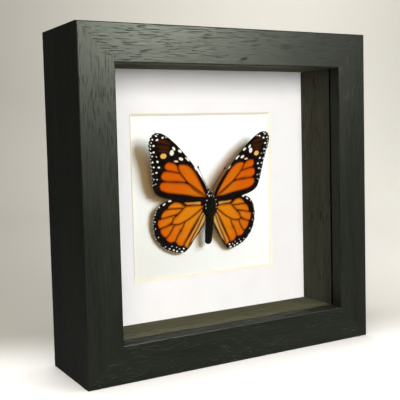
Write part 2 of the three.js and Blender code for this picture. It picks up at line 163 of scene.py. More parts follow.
# Pale spots: out, up, half length, half width, turned by degrees, and how yellow, where not white.
FOREWING_SPOTS = [
    (27.3, 25.3, 1.7, 1.35, 0, 1.0), (22.8, 27, 1.45, 1.15, 90, 0.15), (21.8, 29.2, 1.15, 0.65, 55, 0.05),
    (18.3, 27.8, 1.2, 0.65, 30, 0.05), (17.4, 23.6, 1.3, 0.75, 25, 0.25), (20.1, 22.4, 1.2, 0.5, 5, 0.6),
    (13.5, 23.2, 1.2, 0.5, 48), (14.6, 24.0, 0.6, 0.3, 48), (8.8, 18.2, 1.2, 0.35, 55),
    (28.3, 35, 0.65, 0.45, -20), (26.5, 35.2, 0.4, 0.25, 30), (31.3, 33.9, 0.75, 0.5, -20),
    (33, 30.8, 0.6, 0.5, 0), (32.8, 27.4, 0.6, 0.5, 0), (31.1, 25, 0.35, 0.3, 0),
    (30.4, 22.4, 0.7, 0.55, 40), (29.4, 19.3, 0.65, 0.5, 0), (30.6, 16.5, 0.6, 0.5, 0),
    (30, 12.8, 0.35, 0.3, 0), (30.6, 10.4, 0.3, 0.25, 0), (32, 36, 0.6, 0.35, 30),
    (31.2, 36.8, 0.45, 0.22, 20), (33.9, 34.1, 0.5, 0.4, 60), (34.7, 30.8, 0.35, 0.28, 80),
    (34.6, 29.2, 0.35, 0.28, 80), (34.3, 27, 0.5, 0.4, 0), (33.4, 25.2, 0.45, 0.35, 0),
    (33, 22.1, 0.55, 0.4, 60), (32.2, 19.4, 0.5, 0.4, 0), (32.4, 16, 0.4, 0.32, 0),
    (31.7, 12.9, 0.35, 0.3, 0), (31.6, 9.9, 0.25, 0.22, 0), (34.4, 32.4, 0.35, 0.25, 70),
]
HINDWING_SPOTS = [
    (12.9, -25.9, 0.6, 0.4, 35), (13.8, -27.5, 0.8, 0.42, 5), (15.3, -25.9, 0.35, 0.28, 0),
    (16.6, -27.1, 0.5, 0.48, 0), (18.6, -26.4, 0.6, 0.38, 10), (21, -25.5, 0.5, 0.32, 20),
    (23.4, -24.2, 0.35, 0.28, 30), (22, 0.7, 0.95, 0.5, -5), (25, -1, 0.9, 0.42, -38),
    (27.7, -2.5, 0.4, 0.35, 0), (29.9, -10.2, 0.28, 0.42, 0), (29.8, -6.4, 0.22, 0.32, 0),
    (29.4, -14, 0.25, 0.3, 0), (27.6, -18.8, 0.3, 0.25, 45), (19.8, -24.1, 0.3, 0.25, 0),
    (17, -24.9, 0.3, 0.25, 0),
]
SCENT_SPOT = (15.1, -15.9, 1.8, 0.8, -60)  # dark, on a vein of the male's hindwing
# The veins that stand up from the membrane.
FOREWING_VEINS = [
    [(1, 3), (3.2, 9.2), (7.2, 14.8), (12.6, 21.4), (19.5, 28.8), (26.5, 34.6)],
    [(2, 3), (8.4, 7.6), (12.9, 10.9), (15.6, 13.9), (17.6, 16.2), (18.9, 19.2), (18.6, 21.3)],
    [(13.2, 10.9), (20, 11.2), (25.5, 11.5), (32.3, 11)],
    [(17, 15.8), (20.5, 16.6), (26, 17.6), (33, 17)],
    [(18.9, 19.4), (21, 21.6), (26, 22.6), (33.6, 23)],
    [(18.6, 21.3), (24, 25.6), (28, 28), (35.2, 28.4)],
    [(18.6, 21.3), (22.4, 26), (27.5, 31.1), (34.8, 32.4)],
    [(2, 2.4), (10, 2.8), (20, 4.2), (27, 5.4), (31, 6.2)],
]
HINDWING_VEINS = [
    [(3, -2.6), (5.5, -2.1), (12, -2.1), (14, -3.4), (16.6, -6), (19.6, -9), (20.4, -11.6), (30.6, -15)],
    [(12.6, -2.2), (14, -2), (16, -0.4), (22, 0.6)],
    [(14, -3.4), (18, -3.6), (23, -3.7), (30.4, -5)],
    [(17.2, -6.6), (21, -7.5), (26.5, -8.9), (31, -10)],
    [(20.4, -11.9), (17, -12.3), (13, -10.9), (8.6, -8.2), (4.4, -4.9), (3, -3.4)],
    [(19, -12.4), (20.6, -16), (23.2, -19.6), (25.6, -22.4)],
    [(12.9, -11.2), (14.4, -14.8), (16.4, -18), (18, -21.6), (20.4, -25.8)],
    [(3.4, -6.4), (6.4, -12.6), (9.6, -18.2), (13.2, -24.4), (14.4, -27)],
    [(2.2, -7.6), (4.8, -13.6), (7.6, -19), (10.2, -24.6)],
]

# Each antenna from its socket on the head to its tip, in the butterfly's own frame.
ANTENNAE = {
    "antenna_left": [(-1.9, -0.4, 6), (-6.5, -0.7, 13.4), (-9.5, -0.2, 19.7)],
    "antenna_right": [(-0.5, -0.4, 6), (3.5, -0.7, 12.7), (8, -0.2, 18.3)],
}


# ---------------------------------------------------------------- curves and fields

def smooth(points, per_span, closed=False):
    """A centripetal Catmull-Rom curve: each span is the cubic whose end slopes come from the four
    points about it, with knots spaced by the square roots of the distances between them."""
    p = np.array(points, float)
    if closed:
        before, after, beyond = np.roll(p, 1, 0), np.roll(p, -1, 0), np.roll(p, -2, 0)
    else:
        p = np.vstack([2 * p[0] - p[1], p, 2 * p[-1] - p[-2]])
        before, p, after, beyond = p[:-3], p[1:-2], p[2:-1], p[3:]
    pairs = (before, p), (p, after), (after, beyond)
    gaps = [np.sqrt(np.linalg.norm(b - a, axis=1))[:, None] for a, b in pairs]
    start = ((p - before) / gaps[0] - (after - before) / (gaps[0] + gaps[1])) * gaps[1] + after - p
    end = ((beyond - after) / gaps[2] - (beyond - p) / (gaps[1] + gaps[2])) * gaps[1] + after - p
    t = (np.arange(per_span) / per_span)[None, :, None]
    curve = (
        p[:, None] + t * start[:, None]
        + t ** 2 * (3 * (after - p) - 2 * start - end)[:, None]
        + t ** 3 * (2 * (p - after) + start + end)[:, None]
    ).reshape(-1, p.shape[1])
    return curve if closed else np.vstack([curve, after[-1:]])


def unit(ways):
    """Each way divided by its own length."""
    return ways / np.linalg.norm(ways, axis=1)[:, None]


def evenly(points, count):
    """Points the same distance apart along a polyline, by reading it at equal shares of its length."""
    steps = np.linalg.norm(np.diff(points, axis=0), axis=1)
    along = np.concatenate([[0], np.cumsum(steps)])
    share = np.linspace(0, along[-1], count)
    return np.stack([np.interp(share, along, points[:, i]) for i in range(points.shape[1])], 1)


def distance_to_line(points, line):
    """The shortest distance from each point to a polyline: the least over its segments of the
    distance to the nearest place on that segment."""
    a, b = line[:-1], line[1:]
    along = b - a
    reach = ((points[:, None] - a) * along).sum(2) / (along ** 2).sum(1)
    nearest = a + np.clip(reach, 0, 1)[..., None] * along
    return np.sqrt(((points[:, None] - nearest) ** 2).sum(2)).min(1)


def depth_inside(points, outline):
    """The distance from each point to a closed outline, positive inside it and negative outside,
    where inside means that a ray crosses the outline an odd number of times."""
    ring = np.vstack([outline, outline[:1]])
    a, b = ring[:-1], ring[1:]
    x, y = points[:, None, 0], points[:, None, 1]
    spans = (a[:, 1] > y) != (b[:, 1] > y)
    rise = np.where(np.abs(b[:, 1] - a[:, 1]) < 1e-9, 1e-9, b[:, 1] - a[:, 1])
    crossing = a[:, 0] + (y - a[:, 1]) / rise * (b[:, 0] - a[:, 0])
    inside = (spans & (x < crossing)).sum(1) % 2 == 1
    return np.where(inside, 1, -1) * distance_to_line(points, ring)


def depth_in_spot(points, spot):
    """How far each point is inside an ellipse, roughly: its share of the radius left, times the
    ellipse's half width."""
    angle = math.radians(spot[4])
    out, up = points[:, 0] - spot[0], points[:, 1] - spot[1]
    along = (out * math.cos(angle) + up * math.sin(angle)) / spot[2]
    across = (up * math.cos(angle) - out * math.sin(angle)) / spot[3]
    return (1 - np.hypot(along, across)) * spot[3]


# ---------------------------------------------------------------- meshes

def grid_faces(rows, columns, round_it=False):
    """Quads between neighbouring points of a grid, row by row; round_it also joins its last column
    to its first."""
    index = np.arange(rows * columns).reshape(rows, columns)
    if round_it:
        index = np.hstack([index, index[:, :1]])
    corners = [index[:-1, :-1], index[:-1, 1:], index[1:, 1:], index[1:, :-1]]
    return np.stack([c.ravel() for c in corners], 1)


def tube(path, wide, deep, sides, depth_way=(0, 1, 0), cover=0.0):
    """An oval ring carried along a path: each ring is the path's point plus wide times the cosine
    sideways plus deep times the sine towards depth_way. Each end is closed by a fan about a point."""
    path = np.array(path, float)
    wide = np.broadcast_to(np.asarray(wide, float), len(path))
    deep = np.broadcast_to(np.asarray(deep, float), len(path))
    forward = unit(np.gradient(path, axis=0))
    side = unit(np.cross(forward, np.array(depth_way, float)))
    depth = np.cross(side, forward)
    angle = np.arange(sides) / sides * 2 * np.pi
    rings = (
        path[:, None]
        + np.cos(angle)[None, :, None] * (wide[:, None] * side)[:, None]
        + np.sin(angle)[None, :, None] * (deep[:, None] * depth)[:, None]
    )
    ends = path[:1] - forward[:1] * cover, path[-1:] + forward[-1:] * cover
    points = np.vstack([rings.reshape(-1, 3), *ends])
    first, last = len(points) - 2, len(points) - 1
    a = np.arange(sides)
    b = (a + 1) % sides
    foot = (len(path) - 1) * sides
    fans = np.vstack([
        np.stack([b, a, np.full(sides, first)], 1),
        np.stack([foot + a, foot + b, np.full(sides, last)], 1),
    ])
    return points, grid_faces(len(path), sides, True).tolist() + fans.tolist()


def ball(centre, across, deep, along, sides=28, rows=20):
    """An ellipsoid: a tube whose ring radius is the sine of the angle from one pole to the other."""
    pole = 0.06
    angle = np.linspace(pole, np.pi - pole, rows)
    path = np.array(centre, float) + np.stack([0 * angle, 0 * angle, -along * np.cos(angle)], 1)
    cover = along * (1 - math.cos(pole))
    return tube(path, across * np.sin(angle), deep * np.sin(angle), sides, cover=cover)


def joined(parts):
    """Several shapes as one: their points in a row, and each shape's faces counted on from the points
    before it."""
    points, faces, start = [], [], 0
    for some, theirs in parts:
        points.append(some)
        faces += [[corner + start for corner in face] for face in theirs]
        start += len(some)
    return np.vstack(points), faces


def new_object(name, points, faces, material, smooth_faces=True):
    """A mesh object from points, in millimetres in the part's own frame, and faces."""
    mesh = bpy.data.meshes.new(name)
    mesh.from_pydata((points * MM).tolist(), [], faces)
    mesh.polygons.foreach_set("use_smooth", np.full(len(mesh.polygons), smooth_faces))
    mesh.materials.append(material)
    piece = bpy.data.objects.new(name, mesh)
    bpy.context.scene.collection.objects.link(piece)
    return piece


def make_piece(name, points, faces, material, replaced=(), smooth_faces=True):
    """A new piece that rides on the one body, with its faces turned outwards."""
    piece = new_object(name, points, faces, material, smooth_faces)
    shape = bmesh.new()
    shape.from_mesh(piece.data)
    bmesh.ops.recalc_face_normals(shape, faces=shape.faces)
    shape.to_mesh(piece.data)
    shape.free()
    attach(piece, "root")
    if replaced:
        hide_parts(*replaced)
    return piece


def write_field(piece, name, values):
    """Keeps one number for each point of the piece, for its material to read."""
    field = piece.data.attributes.new(name, "FLOAT", "POINT")
    field.data.foreach_set("value", np.asarray(values, np.float32))


# ---------------------------------------------------------------- colours and nodes

def linear(colour):
    """An sRGB hex value as linear red, green and blue, with alpha 1."""
    parts = [int(colour[i:i + 2], 16) / 255 for i in (1, 3, 5)]
    return [c / 12.92 if c <= 0.04045 else ((c + 0.055) / 1.055) ** 2.4 for c in parts] + [1.0]


def add(tree, kind, inputs=None, out=0, **settings):
    """Adds a node: settings are its own properties, and inputs are values, hex colours or the outputs
    that feed it. Returns the output named or numbered by out."""
    node = tree.nodes.new(kind)
    for name, value in settings.items():
        setattr(node, name, value)
    for key, value in (inputs or {}).items():
        if isinstance(value, bpy.types.NodeSocket):
            tree.links.new(value, node.inputs[key])
        else:
            node.inputs[key].default_value = linear(value) if isinstance(value, str) else value
    return node.outputs[out] if len(node.outputs) else node


def blank(name):
    """A material with an empty node tree."""
    material = bpy.data.materials.new(name)
    material.use_nodes = True
    material.node_tree.nodes.clear()
    return material, material.node_tree


# A Map Range node with this setting is a soft step of input 0, from input 1 to input 2.
SOFT = dict(interpolation_type="SMOOTHSTEP")


def to_size(tree, size):
    """Places on the piece, counted in steps of size, one number or one for each axis, in millimetres."""
    place = add(tree, "ShaderNodeTexCoord", out="Object")
    return add(tree, "ShaderNodeMapping", {"Vector": place, "Scale": 1 / (np.ones(3) * size * MM)})


def mottle(tree, size, detail=2.0, rough=0.5):
    """Mottling: soft noise whose lumps measure size in millimetres."""
    return add(tree, "ShaderNodeTexNoise", {
        "Vector": to_size(tree, size), "Scale": 1.0, "Detail": detail, "Roughness": rough})


def from_walls(tree, size):
    """How far each place is from the nearest wall between cells that measure size in millimetres."""
    inputs = {"Vector": to_size(tree, size), "Scale": 1.0}
    return add(tree, "ShaderNodeTexVoronoi", inputs, feature="DISTANCE_TO_EDGE")


def coats(tree, colour, *over):
    """Colours laid one over another. Each coat is the share by which it covers what is under it, and
    its colour. Limits between the two make the share a soft step: it rises from 0 to 1, or from the
    third limit to the fourth, while the pattern goes from the first limit to the second."""
    for share, *limits, coat in over:
        if limits:
            share = add(tree, "ShaderNodeMapRange", {0: share, **dict(enumerate(limits, 1))}, **SOFT)
        colour = add(tree, "ShaderNodeMix", {0: share, 6: colour, 7: coat}, data_type="RGBA", out=2)
    return colour


def summed(tree, total, *terms):
    """Patterns added up: a total to start from, and each pattern times its weight. Limits between the
    two make the pattern a soft step, as in coats."""
    for pattern, *limits, weight in terms:
        if limits:
            pattern = add(tree, "ShaderNodeMapRange", {0: pattern, **dict(enumerate(limits, 1))}, **SOFT)
        total = add(tree, "ShaderNodeMath", {0: pattern, 1: weight, 2: total}, operation="MULTIPLY_ADD")
    return total


def finished(material, shader_inputs, height=None, relief=0.0, strength=1.0):
    """Joins one Principled shader with these values and links to the material's output. Where there is
    a height pattern, it gives the surface this relief, in millimetres."""
    tree = material.node_tree
    if height is not None:
        bump = {"Height": height, "Distance": relief * MM, "Strength": strength}
        shader_inputs["Normal"] = add(tree, "ShaderNodeBump", bump)
    shader = add(tree, "ShaderNodeBsdfPrincipled", shader_inputs)
    add(tree, "ShaderNodeOutputMaterial", {"Surface": shader})
    return material


# ---------------------------------------------------------------- materials

def stained_wood(name, grain, colours, roughness, pore_depth, gloss, black_to=-1.0):
    """Open-grained hardwood, planed, stained black and lacquered: a green-grey cast, fine fibre
    streaks, and dark open pores half a millimetre wide and up to 10 mm long that run along the piece.
    The front face is rubbed to a satin sheen and the other faces are left duller. In front of black_to, in
    metres along Y, the wood is coloured dead black: painted shade for the dark gap behind the lip, where the
    strip's front edge meets the glass."""
    material, tree = blank(name)

    def along_grain(width, length, detail, rough=0.5):
        """Mottling drawn out along the grain."""
        return mottle(tree, [length if axis == grain else width for axis in "XYZ"], detail, rough)

    figure = along_grain(9, 95, 3.0)
    fibre = along_grain(0.55, 16, 3.0, 0.6)
    streak = along_grain(0.5, 7, 1.0, 0.4)
    clump = along_grain(7, 26, 1.0)
    open_streak = add(tree, "ShaderNodeMapRange", {0: streak, 1: 0.575, 2: 0.69}, **SOFT)
    crowded = add(tree, "ShaderNodeMapRange", {0: clump, 1: 0.36, 2: 0.62, 3: 0.3, 4: 0.95}, **SOFT)
    pores = add(tree, "ShaderNodeMath", {0: open_streak, 1: crowded}, operation="MULTIPLY")
    shade = summed(tree, 0.0, (figure, 0.3, 0.7, 0.55), (fibre, 0.3, 0.72, 0.45))
    place = add(tree, "ShaderNodeTexCoord", out="Object")
    depth = add(tree, "ShaderNodeSeparateXYZ", {0: place}, out=1)
    # Painted shade: in front of black_to the wood is coloured near black, standing in for the dark gap
    # between the strip's edge and the glass.
    painted = add(tree, "ShaderNodeMath", {0: depth, 1: black_to}, operation="LESS_THAN")
    dark, light, open_pore = colours
    stain = coats(tree, dark, (shade, light), (pores, open_pore), (painted, "#020202"))
    rubbed_to, unrubbed_from = FRONT_FACE_Y + 0.3 * MM, FRONT_FACE_Y + 1.2 * MM
    dull = summed(tree, roughness - 0.1, (fibre, 0.2), (pores, 0.16), (depth, rubbed_to, unrubbed_from, 0.3))
    height = summed(tree, 0.0, (pores, -1.0), (fibre, 0.22))
    # The green specular tint is painted light colour: it gives the lacquer's reflections the greenish cast of
    # the light they reflect.
    return finished(material, {
        "Base Color": stain, "Roughness": dull, "IOR": 1.5, "Specular IOR Level": gloss,
        "Specular Tint": "#f3ffeb"}, height, pore_depth)


def glass():
    """Clear float glass, polished flat: clean reflections, and shadows that it barely tints."""
    material, tree = blank("clear_float_glass")
    pane = add(tree, "ShaderNodeBsdfPrincipled", {
        "Base Color": "#ffffff", "Roughness": 0.0, "IOR": 1.5, "Transmission Weight": 1.0})
    open_air = add(tree, "ShaderNodeBsdfTransparent", {"Color": "#fafbfa"})
    lamp_ray = add(tree, "ShaderNodeLightPath", out="Is Shadow Ray")
    both = add(tree, "ShaderNodeMixShader", {0: lamp_ray, 1: pane, 2: open_air})
    add(tree, "ShaderNodeOutputMaterial", {"Surface": both})
    return material


def mat_board():
    """Mat board, white paper over a cream core and cut at 45 degrees: matt and faintly mottled on the
    face, and warm cream where the bevel shows the core."""
    material, tree = blank("white_mat_board")
    pulp = mottle(tree, 1.4, 3.0)
    cloud = mottle(tree, 14)
    paper = coats(tree, "#eeedec", (pulp, "#f2f1f0"), (cloud, 0.4, 0.7, 0.0, 0.35, "#e9e6e4"))
    core = coats(tree, "#efe8d0", (pulp, "#f7f2e0"))
    place = add(tree, "ShaderNodeTexCoord", out="Object")
    middle = (0.0, 0.0, WINDOW_Z * MM)
    centred = add(tree, "ShaderNodeVectorMath", {0: place, 1: middle}, operation="SUBTRACT")
    offset = add(tree, "ShaderNodeVectorMath", {0: centred}, operation="ABSOLUTE")
    sideways = add(tree, "ShaderNodeSeparateXYZ", {0: offset})
    upward = add(tree, "ShaderNodeSeparateXYZ", {0: offset}, out=2)
    reach = add(tree, "ShaderNodeMath", {0: sideways, 1: upward}, operation="MAXIMUM")
    face_from = (WINDOW_HALF - 0.05) * MM
    on_bevel = add(tree, "ShaderNodeMath", {0: reach, 1: face_from}, operation="LESS_THAN")
    colour = coats(tree, paper, (on_bevel, core))
    look = {"Base Color": colour, "Roughness": 0.92, "Specular IOR Level": 0.25}
    return finished(material, look, pulp, 0.02, 0.08)


def card():
    """White card, calendered: smooth and bright, with barely visible pulp."""
    material, tree = blank("white_card")
    pulp = mottle(tree, 0.9, 4.0, 0.6)
    colour = coats(tree, "#f7f8f6", (pulp, "#fdfefd"))
    look = {"Base Color": colour, "Roughness": 0.85, "Specular IOR Level": 0.3}
    return finished(material, look, pulp, 0.01, 0.3)


def hardboard():
    """Hardboard, wood fibre pressed hot against a plate: dark brown, close and slightly shiny, with
    paler fibres and specks in it."""
    material, tree = blank("brown_hardboard")
    specks = mottle(tree, 0.7, 5.0, 0.7)
    fibres = mottle(tree, (3.5, 1, 0.6), 3.0, 0.6)
    cloud = mottle(tree, 22, 3.0)
    dull = summed(tree, 0.5, (specks, 0.3, 0.7, 0.18))
    shade = summed(tree, 0.0, (specks, 0.35, 0.68, 0.5), (cloud, 0.3, 0.7, 0.5))
    colour = coats(tree, "#55371f", (shade, "#7d5a3a"), (fibres, 0.62, 0.75, 0.0, 0.6, "#a5815a"))
    return finished(material, {"Base Color": colour, "Roughness": dull, "IOR": 1.5}, specks, 0.08, 0.8)


def plated_metal(name, bright, tarnished, roughness):
    """Sheet steel, stamped and electroplated: fine rolling lines, patches where the plating has dulled."""
    material, tree = blank(name)
    lines = mottle(tree, (7, 0.25, 0.25), 3.0, 0.6)
    patches = mottle(tree, 3.2, 4.0, 0.6)
    colour = coats(tree, bright, (patches, 0.45, 0.72, tarnished))
    dull = summed(tree, roughness - 0.1, (lines, 0.2), (patches, 0.45, 0.72, 0.12))
    return finished(material, {"Base Color": colour, "Metallic": 1.0, "Roughness": dull}, lines, 0.02, 0.7)


def foam():
    """Closed-cell foam, cut with a knife: white, matt, with the cut walls of half-millimetre cells."""
    material, tree = blank("white_foam")
    cells = from_walls(tree, 0.5)
    walls = add(tree, "ShaderNodeMapRange", {0: cells, 1: 0.02, 2: 0.2, 3: 1.0, 4: 0.0}, **SOFT)
    colour = coats(tree, "#e6e6df", (walls, "#fbfbf8"))
    look = {"Base Color": colour, "Roughness": 0.95, "Specular IOR Level": 0.2}
    return finished(material, look, walls, 0.12, 0.8)


def wing_scales(name, straw, amber, orange):
    """Butterfly wing, a membrane shingled with coloured scales: matt powdery orange that darkens to red
    brown beside thin black veins, soft ragged edges where two colours of scale meet, and rows of
    scales, drawn about twice their real 0.15 mm so that they show."""
    material, tree = blank(name)
    cell, spot, tone, brown, yellow = [
        add(tree, "ShaderNodeAttribute", attribute_name=field, out="Fac")
        for field in ("cell", "spot", "tone", "brown", "yellow")]
    rows = mottle(tree, 0.3, 2.0, 0.7)
    blotch = mottle(tree, 2.4, 3.0, 0.6)
    ragged = summed(tree, -0.15, (rows, 0.3))
    streaks = add(tree, "ShaderNodeUVMap", uv_map="rays")
    fan = add(tree, "ShaderNodeMapping", {"Vector": streaks, "Scale": (26.0, 1.6, 1.0)})
    rays = add(tree, "ShaderNodeTexNoise", {"Vector": fan, "Scale": 1.0, "Detail": 3.0, "Roughness": 0.6})
    cell, spot = [add(tree, "ShaderNodeMath", {0: depth, 1: ragged}, operation="ADD")
                  for depth in (cell, spot)]
    tone = summed(tree, tone, (rays, 0.7))
    tone = add(tree, "ShaderNodeMath", {0: tone, 1: 0.35}, operation="SUBTRACT")
    warm = coats(tree, straw, (tone, 0.0, 0.52, amber), (tone, 0.48, 1.0, orange),
                 (rows, 0.25, 0.75, 0.2, 0.0, "#7a2c08"))
    beside_vein = coats(tree, warm, (0.62, "#701c04"))
    warm = coats(tree, beside_vein, (cell, -0.05, 1.1, warm))
    ground = coats(tree, "#0a0807", (blotch, 0.35, 0.7, "#1b130e"), (brown, "#46200a"),
                   (rows, 0.45, 0.8, 0.0, 0.25, "#2a211b"), (cell, -0.7, -0.1, "#360e03"))
    pale = coats(tree, "#f7f4ec", (yellow, "#eeb55a"))
    colour = coats(tree, ground, (cell, -0.14, 0.14, warm), (spot, -0.12, 0.12, pale))
    look = {"Base Color": colour, "Roughness": 0.8, "Specular IOR Level": 0.08}
    return finished(material, look, rows, 0.05, 0.5)


def cuticle():
    """Insect cuticle, dried and clothed in black scales and short hair: deep brown-black, a dull
    shine between the hairs."""
    material, tree = blank("black_cuticle")
    scales = mottle(tree, (0.22, 0.22, 0.3), 3.0, 0.6)
    cloud = mottle(tree, 1.6)
    black = coats(tree, "#080806", (scales, 0.35, 0.75, "#1a1812"), (cloud, 0.45, 0.75, 0.0, 0.5, "#1e1c15"))
    look = {"Base Color": black, "Roughness": 0.6, "Specular IOR Level": 0.25}
    return finished(material, look, scales, 0.08, 0.8)


def white_scales():
    """Tufts of white insect scales: matt, loose and slightly ragged, with grey between the scales."""
    material, tree = blank("white_scales")
    scales = mottle(tree, 0.15, 3.0, 0.7)
    colour = coats(tree, "#b9b5ab", (scales, 0.3, 0.6, "#f8f7f2"))
    look = {"Base Color": colour, "Roughness": 0.85, "Specular IOR Level": 0.2}
    return finished(material, look, scales, 0.08, 0.8)


def eye_surface():
    """Compound eye, dried: near black and glossy, with facets a tenth of a millimetre across,
    drawn a little larger so that they show."""
    material, tree = blank("compound_eye")
    facets = from_walls(tree, 0.16)
    colour = coats(tree, "#0a0706", (facets, 0.0, 0.3, "#231712"))
    return finished(material, {"Base Color": colour, "Roughness": 0.22, "IOR": 1.55}, facets, 0.03, 0.6)


def hair_surface():
    """Insect hair: fine, brown-black and slightly glossy, paler in patches."""
    material, tree = blank("black_hair")
    patches = mottle(tree, 0.5)
    colour = coats(tree, "#221f18", (patches, 0.5, 0.75, "#585241"))
    return finished(material, {"Base Color": colour, "Roughness": 0.5, "IOR": 1.5})


RAIL_STAIN = ("#0e0f0c", "#181a15", "#050504")
STRIP_STAIN = ("#38382f", "#49493d", "#1c1c17")
# The strips across the top and bottom get a lighter, yellower copy of the stain: painted light, standing in
# for light from above on the bottom strip's top face.
STRIP_STAIN_WITH_PAINTED_LIGHT = ("#484733", "#615f46", "#27261b")
wood_across = stained_wood("stained_wood_grain_across", "X", RAIL_STAIN, 0.33, 0.06, 0.5)
wood_upright = stained_wood("stained_wood_grain_upright", "Z", RAIL_STAIN, 0.33, 0.06, 0.5)
strip_across = stained_wood("stained_strip_across_painted_light", "X", STRIP_STAIN_WITH_PAINTED_LIGHT, 0.8, 0.03, 0.06, STRIP_EDGE_Y)
strip_upright = stained_wood("stained_strip_grain_upright", "Z", STRIP_STAIN, 0.8, 0.03, 0.06, STRIP_EDGE_Y)
zinc = plated_metal("zinc_plated_steel", "#c3c7c9", "#8d9295", 0.38)
brass = plated_metal("brass_plated_steel", "#d3ae62", "#96743a", 0.34)
forewing_scales = wing_scales("forewing_scales", "#e3b65c", "#dc820e", "#dc6108")
hindwing_scales = wing_scales("hindwing_scales", "#e3c06c", "#e58b12", "#de690a")
black_cuticle = cuticle()
black_hair = hair_surface()

FINISHES = {
    "glass_pane": glass(), "window_mat": mat_board(), "backing_card": card(), "mount_pad": foam(),
    "backing_board": hardboard(), "sawtooth_hanger": brass, "hanger_nail_left": brass,
    "hanger_nail_right": brass, **{f"framer_point_{number}": zinc for number in range(1, 9)},
}
for side in ("top", "bottom", "left", "right"):
    lying = side in ("top", "bottom")
    FINISHES["frame_rail_" + side] = wood_across if lying else wood_upright
    FINISHES["spacer_" + side] = strip_across if lying else strip_upright
for node, material in FINISHES.items():
    for place in frame["nodes"][node].material_slots:
        place.material = material


# ---------------------------------------------------------------- glue in the mitres

def mitre_glue():
    """The glue line in each of the four mitres: the rail's section, whose long edges are quarter
    circles, as a thin sheet that stands on the diagonal of the corner."""
    quarter = np.radians(np.arange(0, 91, 22.5))

    def rounded(depth, in_from_edge, start):
        """A quarter circle about a point of the section, from a starting angle in degrees."""
        turn = quarter + math.radians(start)
        return np.stack([depth + RAIL_ARRIS * np.cos(turn), in_from_edge + RAIL_ARRIS * np.sin(turn)], 1)

    section = np.vstack([
        rounded(RAIL_DEPTH - RAIL_ARRIS, RAIL_ARRIS, -90),
        [(RAIL_DEPTH, RAIL_WALL), (RAIL_LIP, RAIL_WALL), (RAIL_LIP, RAIL_FACE)],
        rounded(RAIL_ARRIS, RAIL_FACE - RAIL_ARRIS, 90), rounded(RAIL_ARRIS, RAIL_ARRIS, 180),
    ])
    depth, in_from_edge = section.T
    half = frame_half - np.maximum(in_from_edge, MITRE_HALF_GAP)
    sheets = []
    for right in (-1, 1):
        for up in (-1, 1):
            face = np.stack([right * half, FRONT_FACE_Y / MM + depth, frame_half + up * half], 1)
            points = np.vstack([face + (MITRE_HALF_GAP, 0, 0), face - (MITRE_HALF_GAP, 0, 0)])
            count = len(section)
            ring = [[i, (i + 1) % count, (i + 1) % count + count, i + count] for i in range(count)]
            sheets.append((points, ring + [list(range(count)), list(range(count, 2 * count))[::-1]]))
    points, faces = joined(sheets)
    return make_piece("mitre_glue", points, faces, wood_across, smooth_faces=False)


frame_half = cad_box[1].x / MM
glue = mitre_glue()


# ---------------------------------------------------------------- wings

# The butterfly's own frame: X to its right wing, Y away from the viewer, Z towards its head.
BUTTERFLY = Matrix.Translation((BODY_X, CARD_Y - ROOT_HEIGHT, ROOT_Z))
BUTTERFLY = BUTTERFLY @ Matrix.Rotation(math.radians(BODY_PITCH), 4, "X")


def set_in_frame(points, place=BUTTERFLY):
    """Turns and moves points by a 4 by 4 matrix: each new point is the matrix's turn times the point,
    plus its shift."""
    turn = np.array(place.to_3x3())
    return points @ turn.T + np.array(place.translation)


def wing_place(side, raised, slid, behind, twist):
    """Where a wing hangs: laid behind and slid along the body, raised in its own plane, twisted about
    its span, drooped towards the card, and moved out to its root."""
    return (
        BUTTERFLY
        @ Matrix.Translation((side * ROOT_HALF_WIDTH, 0, 0))
        @ Matrix.Rotation(math.radians(side * WING_DROOP), 4, "Z")
        @ Matrix.Rotation(math.radians(twist), 4, "X")
        @ Matrix.Rotation(math.radians(-side * raised), 4, "Y")
        @ Matrix.Translation((0, behind, slid))
    )


def wing_patch(outline, tip_start, tip_end, rows, columns, scallop):
    """A Coons patch over the wing's outline: the sum of the surfaces ruled between leading and
    trailing edge and between root and tip, less the one ruled between the four corners. The outer
    margin is drawn in between the veins by scallop times a rectified sine."""
    loop = smooth(outline, SPANS, closed=True)
    inward = unit(loop.mean(0) - loop)
    span = np.arange(len(loop)) / SPANS
    margin = np.clip((span - tip_start + 0.5) * 2, 0, 1) * np.clip(tip_end + 1 - span, 0, 1)
    arc = np.cumsum(np.linalg.norm(loop - np.roll(loop, 1, 0), axis=1))
    loop = loop + inward * (scallop * margin * np.abs(np.sin(arc * np.pi / SCALLOP)))[:, None]
    first, second, third = SPANS * tip_start, SPANS * tip_end, SPANS * (len(outline) - 1)
    lead = evenly(loop[:first + 1], rows)
    tip = evenly(loop[first:second + 1], columns)
    trail = evenly(loop[second:third + 1][::-1], rows)
    root = evenly(np.vstack([loop[third:], loop[:1]])[::-1], columns)
    s = np.linspace(0, 1, rows)[:, None, None]
    t = np.linspace(0, 1, columns)[None, :, None]
    patch = (
        (1 - t) * lead[:, None] + t * trail[:, None] + (1 - s) * root[None] + s * tip[None]
        - (1 - s) * (1 - t) * lead[0] - (1 - s) * t * trail[0] - s * (1 - t) * lead[-1] - s * t * trail[-1]
    )
    return patch.reshape(-1, 2), loop


